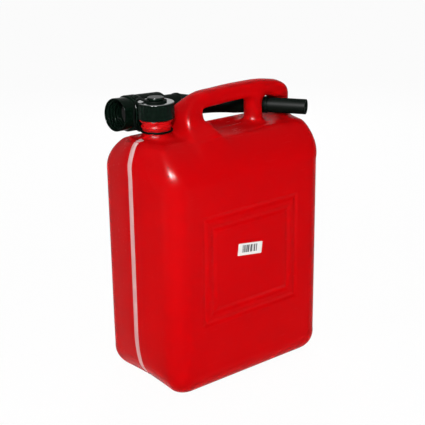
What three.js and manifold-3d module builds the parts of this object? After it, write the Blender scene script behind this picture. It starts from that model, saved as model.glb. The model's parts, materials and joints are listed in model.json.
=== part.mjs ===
// A ten-litre plastic fuel can: a blow-moulded tank with a carrying handle, a tethered screw cap
// and a bent pouring spout stowed through the rear of the handle.
// Millimetres, +Z up. The origin is the middle of the base. The neck is at -X and the handle runs along X.

import * as THREE from "three";
import { mergeVertices } from "three/addons/utils/BufferGeometryUtils.js";
import Module from "manifold-3d";

const wasm = await Module();
wasm.setup();

// Tank shell
const bodyLength = 245;
const bodyDepth = 156;
const faceCrown = 6.5;
const baseCrown = -3.5;
const crownFoot = 10;
const crownRise = 60;
const cornerRadius = 26.2;
const cornerBaseRadius = 16;
const cornerTopRadius = 5;
const baseInset = 19.5;
const baseRise = 30;
const shoulderTop = 317;
const sideStart = 270;
const sideInset = 39.5;
const sideCurve = 1.95;
const frontStart = 268;
const frontInset = 14.5;
const frontFullness = 1.4;
const frontFill = 4.3;
const frontFillRise = 28;
const rearStart = 290;
const rearInset = 6.5;
const rearFullness = 3.1;
const topCrown = 2;
const wall = 3;
const grooveWidth = 16;
const grooveDepth = 5;

// Frame grooves pressed into the wide faces, sized along their middle lines
const frameWidth = 148.8;
const frameHeight = 136.2;
const frameCentreX = -2.4;
const frameCentreZ = 161;
const frameSpacing = 13.6;
const frameGrooveWidth = 9;
const frameGrooveDepth = 1.3;
const frameGrooveFlat = 2;
const frameCorner = 6;

// Handle: sizes across are half sizes, heights are over the saddle
const frontLegSetback = 48;
const legFootDepth = 26;
const legFootReach = 30;
const legFootSpread = 58;
const legBaseReach = 22;
const legBaseSpread = 42;
const legFlareRise = 7;
const legFlareReach = 19;
const legFlareSpread = 31;
const legRise = 18;
const legReach = 16.5;
const legSpread = 22.5;
const legLean = 1.25;
const kneeSetback = 12;
const kneeDrop = 5.5;
const barHeight = 21;
const barWidth = 25;
const barFrontDrop = 1.4;
const barRearRun = 31;
const barRearDrop = 1.5;
const barSquareness = 3;
const kneeSquareness = 3.5;
const legSquareness = 4.5;
const heelRun = 5;
const heelDrop = 8.5;
const heelThickness = 18.8;
const heelWidth = 23;
const rearLegSetback = 5.5;
const rearLegLength = 13;
const rearLegWidth = 20;
const postRadius = 11;
const postWidth = 24.8;
const postFlare = 7;
const holeSill = 1.4;
const holeHeadroom = 5;
const holeGap = 1.2;
const gussetSetback = 10;
const gussetLength = 18;
const gussetWidth = 21;
const gussetHeight = 16;
const gussetDrop = 3;

// Neck and its thread
const neckSetback = 35;
const neckFlareRadius = 21;
const neckFlareHeight = 10;
const barrelRadius = 17.4;
const boreRadius = 14.2;
const exposedNeck = 13.5;
const beadRadius = 20.1;
const beadHeight = 3.4;
const lowBeadRadius = 18.9;
const lowBeadHeight = 3;
const lowBeadGap = 4.1;
const threadRoot = 17.2;
const threadHeight = 1.7;
const threadPitch = 5;
const threadTurns = 2.2;
const threadRunIn = 2;
const threadRunOut = 3.1;
const threadRootWidth = 2.3;
const threadCrestWidth = 1.1;

// Screw cap
const capRadius = 22.6;
const capTop = 2.4;
const capSkirtGap = 0.7;
const capFlange = 6;
const capChamfer = 1.6;
const capRibs = 20;
const capRibDepth = 0.6;
const knobStemRadius = 8.6;
const knobStemHeight = 2.4;
const knobRadius = 10.25;
const knobHeight = 5.6;
const knobChamfer = 2.4;
const gasketThickness = 1.6;

// Tether
const strapWidth = 9;
const strapThickness = 1.6;
const strapGap = 2.6;
const strapBend = 4;
const strapArch = 2.4;
const strapLap = 1;
const strapHeading = THREE.MathUtils.degToRad(141);
const tetherRingWidth = 2.4;
const tetherRingHeight = 2.2;
const eyeWidth = 4.6;

// Spout
const spoutHeading = THREE.MathUtils.degToRad(57);
const collarHeading = THREE.MathUtils.degToRad(5.7);
const elbowRadius = 45;
const collarReach = 172;
const collarGap = 3;
const collarClearance = 4;
const lipLength = 17;
const lipRadius = 20.5;
const nutThreadStart = 3.4;
const nutThreadTurns = 4.2;
const nutThreadEnd = 1.7;
const nutBackWall = 4;
const gripRadius = 22.5;
const gripRings = 4;
const gripPitch = 4;
const gripRingDepth = 1.1;
const barrelLength = 37;
const spoutBarrelRadius = 22;
const barrelRound = 3;
const stepRadius = 17;
const stepLength = 32;
const stepRingRadius = 18;
const stepRingWidth = 4;
const throatRadius = 16.2;
const flangeThickness = 3.4;
const inletBore = 13;
const coneLength = 20;
const elbowTubeRadius = 13.6;
const tubeRadius = 11;
const tubeTaperEnd = 18;
const tubeWall = 1.8;
const socketDepth = 14;
const nozzleRadius = 9.9;
const nozzleWall = 1.7;
const nozzleLength = 51.5;

// Level stripe and sticker
const stripeWidth = 10;
const stripeDepth = 1.6;
const stripeFoot = 7;
const stickerWidth = 39.5;
const stickerHeight = 15.5;
const stickerThickness = 0.4;
const stickerX = -5.3;
const stickerZ = 176.5;
const stickerTilt = THREE.MathUtils.degToRad(7.7);

// Clearances and broken edges
const seatGap = 0.3;
const threadGap = 0.5;
const edgeBreak = 0.6;

// Places worked out from the sizes
const bodyTop = shoulderTop + topCrown;
const neckX = -bodyLength / 2 + neckSetback;
const neckSink = 2;
const neckFoot = bodyTop + neckFlareHeight - neckSink;
const beadZ = neckFoot + tetherRingHeight + exposedNeck - beadHeight;
const lowBeadZ = beadZ - lowBeadGap - lowBeadHeight;
const threadFoot = beadZ + beadHeight + threadRunOut;
const rimZ = threadFoot + threadTurns * threadPitch + threadRunIn;
const capFoot = beadZ + beadHeight + capSkirtGap;
const gasketZ = rimZ + seatGap;
const capCeiling = gasketZ + gasketThickness + seatGap;
const capTopZ = capCeiling + capTop;
const threadCrest = threadRoot + threadHeight;
const nutBore = threadCrest + threadGap;
const nutThreadCrest = threadRoot + threadGap;
const nutSeat = nutThreadStart + nutThreadTurns * threadPitch + nutThreadEnd;
const nutLength = nutSeat + gasketThickness + flangeThickness + nutBackWall + 3 * seatGap;

const legX = neckX + frontLegSetback;
const rearLegX = bodyLength / 2 - rearLegSetback;
const holeZ = shoulderTop + holeSill + elbowTubeRadius;
const underBar = holeZ + tubeRadius + holeHeadroom;
const barZ = underBar + barHeight / 2;
const legAcross = Math.hypot(
  (rearLegLength / 2) * Math.sin(spoutHeading),
  (rearLegWidth / 2) * Math.cos(spoutHeading),
);
const holeX = rearLegX - (legAcross + tubeRadius + 2 * seatGap) / Math.sin(spoutHeading);
const postX = holeX - (postRadius + tubeRadius + seatGap) / Math.sin(spoutHeading);

// The stowed spout lies beside the cap and over the shoulder, clear of both by its thickest part.
const collarRadius = Math.max(gripRadius, spoutBarrelRadius);
const collarY = capRadius + collarRadius + collarGap;
const collarRise = shoulderTop + collarRadius + collarClearance - holeZ;
const elbowReach =
  (collarY + (holeX - neckX) * Math.tan(collarHeading)) /
  (Math.sin(spoutHeading) + Math.cos(spoutHeading) * Math.tan(collarHeading));

// Material of one sub-part.
function material(color, roughness, metalness = 0) {
  return new THREE.MeshStandardMaterial({ color, roughness, metalness });
}

// A closed geometry as a solid with its faces turned outward.
function solidOf(geometry) {
  const bare = geometry.clone();
  bare.deleteAttribute("normal");
  bare.deleteAttribute("uv");
  const merged = mergeVertices(bare, 1e-4);
  const build = (triVerts) =>
    new wasm.Manifold(
      new wasm.Mesh({
        numProp: 3,
        vertProperties: new Float32Array(merged.attributes.position.array),
        triVerts,
      }),
    );
  const triVerts = new Uint32Array(merged.index.array);
  const solid = build(triVerts);
  return solid.volume() > 0 ? solid : build(triVerts.reverse());
}

// A solid's triangles as a geometry.
function geometryOf(solid) {
  const mesh = solid.getMesh();
  const geometry = new THREE.BufferGeometry();
  geometry.setAttribute("position", new THREE.BufferAttribute(mesh.vertProperties, 3));
  geometry.setIndex(new THREE.BufferAttribute(mesh.triVerts, 1));
  geometry.computeVertexNormals();
  return geometry;
}

function meshOf(name, solid, look) {
  const mesh = new THREE.Mesh(geometryOf(solid), look);
  mesh.name = name;
  return mesh;
}

function joined(...solids) {
  return solids.reduce((all, solid) => all.add(solid));
}

// A closed body skinned over rings of equally many points, with a fan of triangles on each end ring.
function loft(rings) {
  const count = rings[0].length;
  const middle = (ring) => ring.reduce((sum, p) => sum.add(p), new THREE.Vector3()).divideScalar(count);
  const points = [...rings.flat(), middle(rings[0]), middle(rings.at(-1))];
  const foot = rings.length * count;
  const faces = [];
  for (let j = 0; j < count; j++) {
    const next = (j + 1) % count;
    for (let i = 0; i < rings.length - 1; i++) {
      const a = i * count;
      const b = a + count;
      faces.push(a + j, a + next, b + next, a + j, b + next, b + j);
    }
    const last = foot - count;
    faces.push(foot, next, j, foot + 1, last + j, last + next);
  }
  const geometry = new THREE.BufferGeometry().setFromPoints(points);
  geometry.setIndex(faces);
  return solidOf(geometry);
}

// A profile of (radius, height) pairs turned round the Z axis.
function turned(profile, segments = 36) {
  const points = profile.map(([radius, height]) => new THREE.Vector2(radius, height));
  const geometry = new THREE.LatheGeometry(points, segments);
  return solidOf(geometry.rotateX(Math.PI / 2));
}

// A helical ridge round the Z axis, faded in and out at its ends. Root and crest may lie either way round.
function thread(root, crest, footZ, turns) {
  const stepsPerTurn = 20;
  const fade = 0.15;
  const steps = Math.round(turns * stepsPerTurn);
  const inward = crest < root;
  const rings = [];
  for (let i = 0; i <= steps; i++) {
    const turn = (i / steps) * turns;
    const full = Math.min(1, turn / fade, (turns - turn) / fade);
    const height = 0.05 + 0.95 * full;
    const tip = root + (crest - root) * height;
    const angle = turn * 2 * Math.PI;
    const z = footZ + turn * threadPitch;
    const at = (radius, up) =>
      new THREE.Vector3(radius * Math.cos(angle), radius * Math.sin(angle), z + up);
    const foot = root + (inward ? seatGap : -seatGap);
    const ring = [
      at(foot, threadRootWidth / 2),
      at(tip, threadCrestWidth / 2),
      at(tip, -threadCrestWidth / 2),
      at(foot, -threadRootWidth / 2),
    ];
    rings.push(ring);
  }
  return loft(rings);
}

// How far along its rise a value has come, from 0 to 1.
function shareOf(value, start, rise) {
  return THREE.MathUtils.clamp((value - start) / rise, 0, 1);
}

// How far the narrow faces stand out in the middle at a height: drawn in at the base, full above.
function crownAt(z) {
  return baseCrown + (faceCrown - baseCrown) * (1 - (1 - shareOf(z, crownFoot, crownRise)) ** 2);
}

// How far an end has turned in at a height, along a quarter of a superellipse.
function endInsetAt(z, start, inset, fullness) {
  const share = shareOf(z, start, shoulderTop - start);
  return inset * (1 - (1 - share ** fullness) ** (1 / fullness));
}

// One level outline of the tank at a height, drawn in all round by inset.
// The sides climb to the sill like a roof, and the corners tighten into hips on the way.
function planOutline(z, inset, shownZ = z) {
  const cornerSteps = 6;
  const crownSteps = 4;
  const climb = shareOf(z, sideStart, shoulderTop - sideStart);
  const drawn = 1 - shareOf(z, 0, baseRise);
  const halfDepth = bodyDepth / 2 - inset - sideInset * climb ** sideCurve;
  const radius =
    cornerRadius + (cornerTopRadius - cornerRadius) * climb + (cornerBaseRadius - cornerRadius) * drawn;
  const straight = halfDepth - radius;
  const quarter = (reach, crown) => {
    const points = [];
    for (let i = 0; i < crownSteps; i++) {
      const y = (i / crownSteps) * straight;
      points.push([reach + crown * (1 - (y / halfDepth) ** 2) ** 2, y]);
    }
    for (let i = 0; i <= cornerSteps; i++) {
      const angle = ((i / cornerSteps) * Math.PI) / 2;
      const y = straight + radius * Math.sin(angle);
      const out = reach - radius + radius * Math.cos(angle);
      points.push([out + crown * (1 - (y / halfDepth) ** 2) ** 2, y]);
    }
    return points;
  };
  const fill = frontFill * THREE.MathUtils.smoothstep(z, frontStart, frontStart + frontFillRise);
  const half = bodyLength / 2 - inset;
  const rear = quarter(half - endInsetAt(z, rearStart, rearInset, rearFullness), crownAt(z));
  const front = quarter(half - endInsetAt(z, frontStart, frontInset, frontFullness), crownAt(z) + fill);
  const ring = [
    ...rear,
    ...front.map(([x, y]) => [-x, y]).reverse(),
    ...front.slice(1).map(([x, y]) => [-x, -y]),
    ...rear.slice(1).map(([x, y]) => [x, -y]).reverse(),
  ];
  return ring.map(([x, y]) => new THREE.Vector3(x, y, shownZ));
}

// The tank's form without handle and neck, set in from the outside all round by offset.
function tankForm(offset) {
  const steps = 6;
  const shoulderSteps = 11;
  const rings = [];
  for (let i = 0; i <= steps; i++) {
    const angle = ((i / steps) * Math.PI) / 2;
    const inset = baseInset - (baseInset - offset) * Math.sin(angle);
    rings.push(planOutline(baseRise - (baseRise - offset) * Math.cos(angle), inset));
  }
  const crownTop = crownFoot + crownRise;
  for (const share of [0.33, 0.66, 1]) {
    rings.push(planOutline(baseRise + share * (crownTop - baseRise), offset));
  }
  for (let i = 0; i <= shoulderSteps; i++) {
    const z = frontStart + (shoulderTop - frontStart) * Math.sin(((i / shoulderSteps) * Math.PI) / 2);
    rings.push(planOutline(z, offset, z - offset * shareOf(z, sideStart, shoulderTop - sideStart)));
  }
  for (const share of [0.35, 0.7]) {
    const inset = offset + (bodyDepth / 2 - sideInset) * share;
    const crown = topCrown * (1 - (1 - share) ** 2);
    rings.push(planOutline(shoulderTop, inset, shoulderTop - offset + crown));
  }
  const whole = loft(rings);
  const halfGroove = grooveWidth / 2 + offset;
  const groove = [-bodyLength, bodyLength].map((x) =>
    [
      [-halfGroove - grooveDepth, -1],
      [halfGroove + grooveDepth, -1],
      [halfGroove / 2, grooveDepth + offset],
      [-halfGroove / 2, grooveDepth + offset],
    ].map(([y, z]) => new THREE.Vector3(x, y, z)),
  );
  return whole.subtract(loft(groove));
}

// The handle's front leg, bar and rear leg as one swept rounded section, drawn in by offset.
// A station is its place along X, its height, the section's half sizes along the sweep's normal and across,
// and its squareness.
function handleForm(offset) {
  const steps = 32;
  const around = 16;
  const halfBar = barHeight / 2;
  const halfWidth = barWidth / 2;
  const span = rearLegX - legX;
  const stations = [
    [legX, bodyTop - legFootDepth, legFootReach, legFootSpread, legSquareness],
    [legX, shoulderTop, legBaseReach, legBaseSpread, legSquareness],
    [legX - legLean, bodyTop + legFlareRise, legFlareReach, legFlareSpread, legSquareness],
    [legX - legLean, bodyTop + legRise, legReach, legSpread, legSquareness],
    [legX + kneeSetback, barZ - kneeDrop, halfBar, halfWidth, kneeSquareness],
    [legX + 0.29 * span, barZ - barFrontDrop, halfBar, halfWidth, barSquareness],
    [legX + 0.57 * span, barZ, halfBar, halfWidth, barSquareness],
    [rearLegX - barRearRun, barZ - barRearDrop, halfBar, halfWidth, barSquareness],
    [rearLegX - heelRun, barZ - heelDrop, heelThickness / 2, heelWidth / 2, barSquareness],
    [rearLegX, holeZ, rearLegLength / 2, rearLegWidth / 2, barSquareness],
    [rearLegX, bodyTop - legFootDepth, rearLegLength / 2, rearLegWidth / 2, barSquareness],
  ];
  const path = new THREE.CatmullRomCurve3(stations.map(([x, z]) => new THREE.Vector3(x, 0, z)));
  const sizes = new THREE.CatmullRomCurve3(stations.map(([, , ...size]) => new THREE.Vector3(...size)));
  const across = new THREE.Vector3(0, 1, 0);
  const squared = (value, power) => Math.sign(value) * Math.abs(value) ** (2 / power);
  const rings = [];
  for (let i = 0; i <= steps; i++) {
    const share = i / steps;
    const centre = path.getPoint(share);
    const size = sizes.getPoint(share);
    const normal = new THREE.Vector3().crossVectors(across, path.getTangent(share));
    const ring = [];
    for (let j = 0; j < around; j++) {
      const angle = (j / around) * 2 * Math.PI;
      ring.push(
        centre
          .clone()
          .addScaledVector(normal, (size.x - offset) * squared(Math.cos(angle), size.z))
          .addScaledVector(across, (size.y - offset) * squared(Math.sin(angle), size.z)),
      );
    }
    rings.push(ring);
  }
  return loft(rings);
}

// The oval post between the finger gap and the spout hole, flared all round at the tank and along the bar.
function postForm(offset) {
  const steps = 8;
  const around = 20;
  const foot = shoulderTop - postFlare;
  const rings = [];
  for (let i = 0; i <= steps; i++) {
    const z = foot + (i / steps) * (barZ - foot);
    const low = z < holeZ;
    const away = (z - holeZ) / (low ? foot - holeZ : barZ - holeZ);
    const flare = postFlare * away ** 3;
    const ring = [];
    for (let j = 0; j < around; j++) {
      const angle = (j / around) * 2 * Math.PI;
      const x = postX + (postRadius - offset + flare) * Math.cos(angle);
      const y = (postWidth / 2 - offset + (low ? flare : 0)) * Math.sin(angle);
      ring.push(new THREE.Vector3(x, y, z));
    }
    rings.push(ring);
  }
  return loft(rings);
}

// The web that fills the inside of the heel, over the spout hole.
function gussetForm() {
  const web = new THREE.BoxGeometry(gussetLength, gussetWidth, gussetHeight);
  return solidOf(web.translate(rearLegX - gussetSetback, 0, underBar - gussetDrop));
}

// The round hole through the rear of the handle, in line with the stowed spout's outlet.
function spoutHole() {
  const radius = tubeRadius + holeGap;
  const hole = new THREE.CylinderGeometry(radius, radius, 2 * barWidth, 24);
  hole.rotateZ(Math.PI / 2 - spoutHeading);
  return solidOf(hole.translate(holeX, 0, holeZ));
}

function neckForm() {
  const foot = bodyTop - 4 * wall;
  const flare = neckFlareRadius - barrelRadius;
  const profile = [
    [0, foot],
    [neckFlareRadius, foot],
    [neckFlareRadius, bodyTop - neckSink],
  ];
  const steps = 4;
  for (let i = 1; i <= steps; i++) {
    const angle = ((i / steps) * Math.PI) / 2;
    profile.push([neckFlareRadius - flare * Math.sin(angle), neckFoot - neckFlareHeight * Math.cos(angle)]);
  }
  profile.push(
    [barrelRadius, lowBeadZ],
    [lowBeadRadius, lowBeadZ + edgeBreak],
    [lowBeadRadius, lowBeadZ + lowBeadHeight - edgeBreak],
    [barrelRadius, lowBeadZ + lowBeadHeight],
    [barrelRadius, beadZ],
    [beadRadius, beadZ + edgeBreak],
    [beadRadius, beadZ + beadHeight - edgeBreak],
    [threadRoot, beadZ + beadHeight],
    [threadRoot, rimZ],
    [0, rimZ],
  );
  const ridge = thread(threadRoot, threadCrest, threadFoot, threadTurns);
  return joined(turned(profile, 32), ridge).translate([neckX, 0, 0]);
}

function neckBore() {
  const profile = [
    [0, bodyTop - 5 * wall],
    [boreRadius, bodyTop - 5 * wall],
    [boreRadius, rimZ + 5],
    [0, rimZ + 5],
  ];
  return turned(profile, 32).translate([neckX, 0, 0]);
}

// Two rectangular grooves, one inside the other, as the solid to be taken off one wide face.
function frameGrooves(side) {
  const rounded = (width, height, radius) => {
    const shape = new THREE.Shape();
    const x = width / 2;
    const y = height / 2;
    shape.absarc(x - radius, y - radius, radius, 0, Math.PI / 2);
    shape.absarc(-x + radius, y - radius, radius, Math.PI / 2, Math.PI);
    shape.absarc(-x + radius, -y + radius, radius, Math.PI, 1.5 * Math.PI);
    shape.absarc(x - radius, -y + radius, radius, 1.5 * Math.PI, 2 * Math.PI);
    return shape;
  };
  const grooves = [0, frameSpacing].map((inset) => {
    const width = frameWidth - 2 * inset;
    const height = frameHeight - 2 * inset;
    const flat = frameGrooveFlat;
    const outline = rounded(width + flat, height + flat, frameCorner);
    outline.holes.push(rounded(width - flat, height - flat, frameCorner - flat));
    const geometry = new THREE.ExtrudeGeometry(outline, {
      depth: wall,
      bevelThickness: frameGrooveDepth,
      bevelSize: (frameGrooveWidth - flat) / 2,
      bevelOffset: 0,
      bevelSegments: 1,
      curveSegments: 2,
    });
    geometry.rotateX(Math.PI / 2);
    geometry.translate(frameCentreX, 0, frameCentreZ);
    return solidOf(geometry);
  });
  const face = side < 0 ? -bodyDepth / 2 : bodyDepth / 2 + wall;
  return joined(...grooves).translate([0, face, 0]);
}

// The slice of the can that the level stripe lies in, at the front narrow face, grown by gap.
function stripeSlice(gap) {
  const half = stripeWidth / 2 + gap;
  const foot = grooveDepth + stripeFoot - gap;
  const front = -bodyLength;
  const back = neckX - neckFlareRadius + gap;
  const ends = [foot, bodyTop + wall].map((z) =>
    [
      [front, -half],
      [back, -half],
      [back, half],
      [front, half],
    ].map(([x, y]) => new THREE.Vector3(x, y, z)),
  );
  return loft(ends);
}

function tank() {
  const handle = joined(handleForm(0), postForm(0), gussetForm()).subtract(spoutHole());
  const pressed = tankForm(0).subtract(frameGrooves(-1)).subtract(frameGrooves(1));
  const outside = joined(pressed, handle, neckForm());
  const inside = joined(tankForm(wall), handleForm(wall), postForm(wall), neckBore());
  const channel = stripeSlice(seatGap).subtract(tankForm(stripeDepth + seatGap));
  return meshOf("tank", outside.subtract(inside).subtract(channel), material(0xcd080e, 0.38));
}

function levelStripe() {
  const skin = tankForm(0).subtract(tankForm(stripeDepth));
  return meshOf("level_stripe", skin.intersect(stripeSlice(0)), material(0xe8c9c4, 0.45));
}

function capProfile() {
  const skirt = capRadius - capRibDepth;
  const head = capTopZ + knobHeight;
  return [
    [0, capCeiling],
    [nutBore, capCeiling],
    [nutBore, capFoot],
    [capRadius - edgeBreak, capFoot],
    [capRadius, capFoot + edgeBreak],
    [capRadius, capFoot + capFlange],
    [skirt, capFoot + capFlange + edgeBreak],
    [skirt, capTopZ - capChamfer],
    [skirt - capChamfer, capTopZ],
    [knobStemRadius, capTopZ],
    [knobStemRadius, capTopZ + knobStemHeight],
    [knobRadius, capTopZ + knobStemHeight + edgeBreak],
    [knobRadius, head - knobChamfer],
    [knobRadius - knobChamfer, head],
    [0, head],
  ];
}

// Upright grip ribs round the upper skirt.
function capRibRing() {
  const outline = new THREE.Shape();
  const steps = capRibs * 4;
  for (let i = 0; i < steps; i++) {
    const angle = (i / steps) * 2 * Math.PI;
    const radius = capRadius - (i % 4 < 2 ? 0 : capRibDepth);
    const draw = i === 0 ? "moveTo" : "lineTo";
    outline[draw](radius * Math.cos(angle), radius * Math.sin(angle));
  }
  const bore = new THREE.Path().absarc(0, 0, capRadius - 2 * capRibDepth, 0, 2 * Math.PI);
  outline.holes.push(bore);
  const foot = capFoot + capFlange - capRibDepth;
  const geometry = new THREE.ExtrudeGeometry(outline, {
    depth: capTopZ - capChamfer - foot,
    bevelEnabled: false,
    curveSegments: 20,
  });
  return solidOf(geometry.translate(0, 0, foot));
}

function cap() {
  const ridge = thread(nutBore, nutThreadCrest, threadFoot + threadPitch / 2, threadTurns - 1);
  const whole = joined(turned(capProfile(), 40), capRibRing(), ridge).translate([neckX, 0, 0]);
  return meshOf("cap", whole, material(0x14181a, 0.42));
}

function capGasket() {
  const profile = [
    [0, gasketZ],
    [threadRoot, gasketZ],
    [threadRoot, gasketZ + gasketThickness],
    [0, gasketZ + gasketThickness],
  ];
  const disc = turned(profile, 32).translate([neckX, 0, 0]);
  return meshOf("cap_gasket", disc, material(0x3c3a38, 0.8));
}

// A flat ring round the neck axis.
function washer(inner, outer, foot, height, segments = 36) {
  const profile = [
    [inner, foot],
    [outer, foot],
    [outer, foot + height],
    [inner, foot + height],
    [inner, foot],
  ];
  return turned(profile, segments);
}

function capTether() {
  const ringZ = neckFoot + seatGap;
  const strapReach = capRadius + strapGap;
  const ringRadius = barrelRadius + seatGap;
  const eyeZ = capTopZ + seatGap;
  const eyeRadius = knobStemRadius + seatGap;
  const half = strapThickness / 2;
  const route = [
    [ringRadius + tetherRingWidth / 2, ringZ + half],
    [strapReach - strapBend, ringZ + half],
    [strapReach, ringZ + half + strapBend],
    [strapReach, capTopZ - strapBend],
    [strapReach - strapBend, eyeZ + half + strapArch],
    [eyeRadius + eyeWidth - strapLap, eyeZ + half],
  ];
  const path = new THREE.CatmullRomCurve3(route.map(([out, z]) => new THREE.Vector3(out, 0, z)));
  const across = new THREE.Vector3(0, 1, 0);
  const steps = 30;
  const rings = [];
  for (let i = 0; i <= steps; i++) {
    const centre = path.getPoint(i / steps);
    const normal = new THREE.Vector3().crossVectors(across, path.getTangent(i / steps));
    const corners = [
      [1, -1],
      [1, 1],
      [-1, 1],
      [-1, -1],
    ];
    const ring = corners.map(([up, over]) =>
      centre
        .clone()
        .addScaledVector(normal, up * half)
        .addScaledVector(across, (over * strapWidth) / 2),
    );
    rings.push(ring);
  }
  const strap = loft(rings).rotate([0, 0, THREE.MathUtils.radToDeg(strapHeading)]);
  const ring = washer(ringRadius, ringRadius + tetherRingWidth, ringZ, tetherRingHeight);
  const bore = turned([
    [0, ringZ - 1],
    [ringRadius, ringZ - 1],
    [ringRadius, ringZ + tetherRingHeight + 1],
    [0, ringZ + tetherRingHeight + 1],
  ]);
  const eye = washer(eyeRadius, eyeRadius + eyeWidth, eyeZ, strapThickness);
  const whole = joined(strap.subtract(bore), ring, eye).translate([neckX, 0, 0]);
  return meshOf("cap_tether", whole, material(0x1a1e20, 0.5));
}

// The spout's centre line: straight from the open rim, round the elbow, straight to the outlet.
function spoutLine() {
  const outward = new THREE.Vector3(Math.cos(spoutHeading), -Math.sin(spoutHeading), 0);
  const hole = new THREE.Vector3(holeX, 0, holeZ);
  const corner = hole.clone().addScaledVector(outward, -elbowReach);
  const tilt = Math.asin(collarRise / collarReach);
  const inward = new THREE.Vector3(
    Math.cos(collarHeading) * Math.cos(tilt),
    Math.sin(collarHeading) * Math.cos(tilt),
    -Math.sin(tilt),
  );
  const rim = corner.clone().addScaledVector(inward, -collarReach);
  const turn = inward.angleTo(outward);
  const tangent = elbowRadius * Math.tan(turn / 2);
  return { inward, outward, rim, turn, tangent };
}

const line = spoutLine();
const elbowStart = collarReach - line.tangent;
const elbowEnd = elbowStart + elbowRadius * line.turn;
const socketEnd = elbowEnd + elbowReach - line.tangent;

// Place and direction on the spout's centre line at a length from its open rim.
function onSpout(length) {
  const side = new THREE.Vector3().crossVectors(line.inward, line.outward).normalize();
  const angle = THREE.MathUtils.clamp((length - elbowStart) / elbowRadius, 0, line.turn);
  const along = line.inward.clone().applyAxisAngle(side, angle);
  const start = line.rim.clone().addScaledVector(line.inward, elbowStart);
  const toCentre = new THREE.Vector3().crossVectors(side, line.inward);
  const centre = start.clone().addScaledVector(toCentre, elbowRadius);
  const place = centre.clone().sub(toCentre.applyAxisAngle(side, angle).multiplyScalar(elbowRadius));
  const before = Math.min(0, length - elbowStart);
  const after = Math.max(0, length - elbowEnd);
  place.addScaledVector(along, before + after);
  return { place, along, side };
}

// A round body along the spout's centre line, from (length, radius) pairs.
function alongSpout(stations, around = 24) {
  const rings = [];
  for (const [length, radius] of stations) {
    const { place, along, side } = onSpout(length);
    const normal = new THREE.Vector3().crossVectors(side, along);
    const ring = [];
    for (let j = 0; j < around; j++) {
      const angle = (j / around) * 2 * Math.PI;
      ring.push(
        place
          .clone()
          .addScaledVector(normal, radius * Math.cos(angle))
          .addScaledVector(side, -radius * Math.sin(angle)),
      );
    }
    rings.push(ring);
  }
  return loft(rings);
}

const barrelStart = nutLength + seatGap;
const barrelEnd = nutLength + barrelLength;
const stepEnd = barrelEnd + stepLength;
const coneEnd = stepEnd + coneLength;
const flangeEnd = nutLength - nutBackWall - seatGap;
const flangeStart = flangeEnd - flangeThickness;
const socketStart = socketEnd - socketDepth;
const insertRadius = nozzleRadius - tubeWall / 2;
const faceStep = 0.01;

function elbowStations(radius) {
  const steps = 6;
  const stations = [];
  for (let i = 0; i <= steps; i++) {
    stations.push([elbowStart + (i / steps) * (elbowEnd - elbowStart), radius]);
  }
  return stations;
}

function spoutTube() {
  const flangeRadius = nutBore - seatGap;
  const corner = 0.3 * barrelRound;
  const outside = alongSpout([
    [flangeStart, flangeRadius],
    [flangeEnd, flangeRadius],
    [flangeEnd + faceStep, throatRadius],
    [barrelStart, throatRadius],
    [barrelStart + faceStep, spoutBarrelRadius - edgeBreak],
    [barrelStart + edgeBreak, spoutBarrelRadius],
    [barrelEnd - barrelRound, spoutBarrelRadius],
    [barrelEnd - corner, spoutBarrelRadius - corner],
    [barrelEnd, stepRadius],
    [stepEnd - stepRingWidth, stepRadius],
    [stepEnd - stepRingWidth + edgeBreak, stepRingRadius],
    [stepEnd - edgeBreak, stepRingRadius],
    [stepEnd, stepRadius],
    [coneEnd, elbowTubeRadius],
    ...elbowStations(elbowTubeRadius),
    [socketEnd - tubeTaperEnd, tubeRadius],
    [socketEnd, tubeRadius],
  ]);
  const elbowBore = elbowTubeRadius - tubeWall;
  const socket = insertRadius + seatGap;
  const inside = alongSpout([
    [flangeStart - 1, inletBore],
    [stepEnd, inletBore],
    [coneEnd, elbowBore],
    ...elbowStations(elbowBore),
    [socketStart - seatGap, insertRadius - nozzleWall],
    [socketStart - seatGap + faceStep, socket],
    [socketEnd + 1, socket],
  ]);
  return meshOf("spout_tube", outside.subtract(inside), material(0x171c1d, 0.4));
}

function spoutNozzle() {
  const shoulder = socketEnd + seatGap;
  const outside = alongSpout([
    [socketStart, insertRadius],
    [shoulder, insertRadius],
    [shoulder + faceStep, nozzleRadius],
    [socketEnd + nozzleLength, nozzleRadius],
  ]);
  const bore = insertRadius - nozzleWall;
  const inside = alongSpout([
    [socketStart - 1, bore],
    [socketEnd + nozzleLength + 1, bore],
  ]);
  return meshOf("spout_nozzle", outside.subtract(inside), material(0x171c1d, 0.36));
}

// Grip rings as rounded ridges along the nut.
function nutProfile() {
  const back = throatRadius + seatGap;
  const profile = [
    [nutBore, 0],
    [lipRadius, 0],
    [lipRadius, lipLength],
  ];
  const dip = gripRadius - gripRingDepth;
  for (let i = 0; i < gripRings; i++) {
    const at = (share) => lipLength + (i + share) * gripPitch;
    profile.push([dip, at(0.08)], [gripRadius, at(0.28)], [gripRadius, at(0.68)], [dip, at(0.88)]);
  }
  profile.push(
    [dip, nutLength],
    [back, nutLength],
    [back, nutLength - nutBackWall],
    [nutBore, nutLength - nutBackWall],
    [nutBore, 0],
  );
  return profile;
}

// Puts a piece that was made along +Z from the spout's rim in its place on the collar.
function onCollar(mesh) {
  const collar = new THREE.Group();
  collar.position.copy(line.rim);
  collar.quaternion.setFromUnitVectors(new THREE.Vector3(0, 0, 1), line.inward);
  collar.add(mesh);
  return collar;
}

function spoutNut() {
  const ridge = thread(nutBore, nutThreadCrest, nutThreadStart, nutThreadTurns);
  const whole = joined(turned(nutProfile(), 32), ridge);
  return onCollar(meshOf("spout_nut", whole, material(0x14181a, 0.45)));
}

function spoutGasket() {
  const foot = flangeStart - seatGap - gasketThickness;
  const ring = washer(inletBore, threadCrest, foot, gasketThickness, 32);
  return onCollar(meshOf("spout_gasket", ring, material(0x3c3a38, 0.8)));
}

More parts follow.
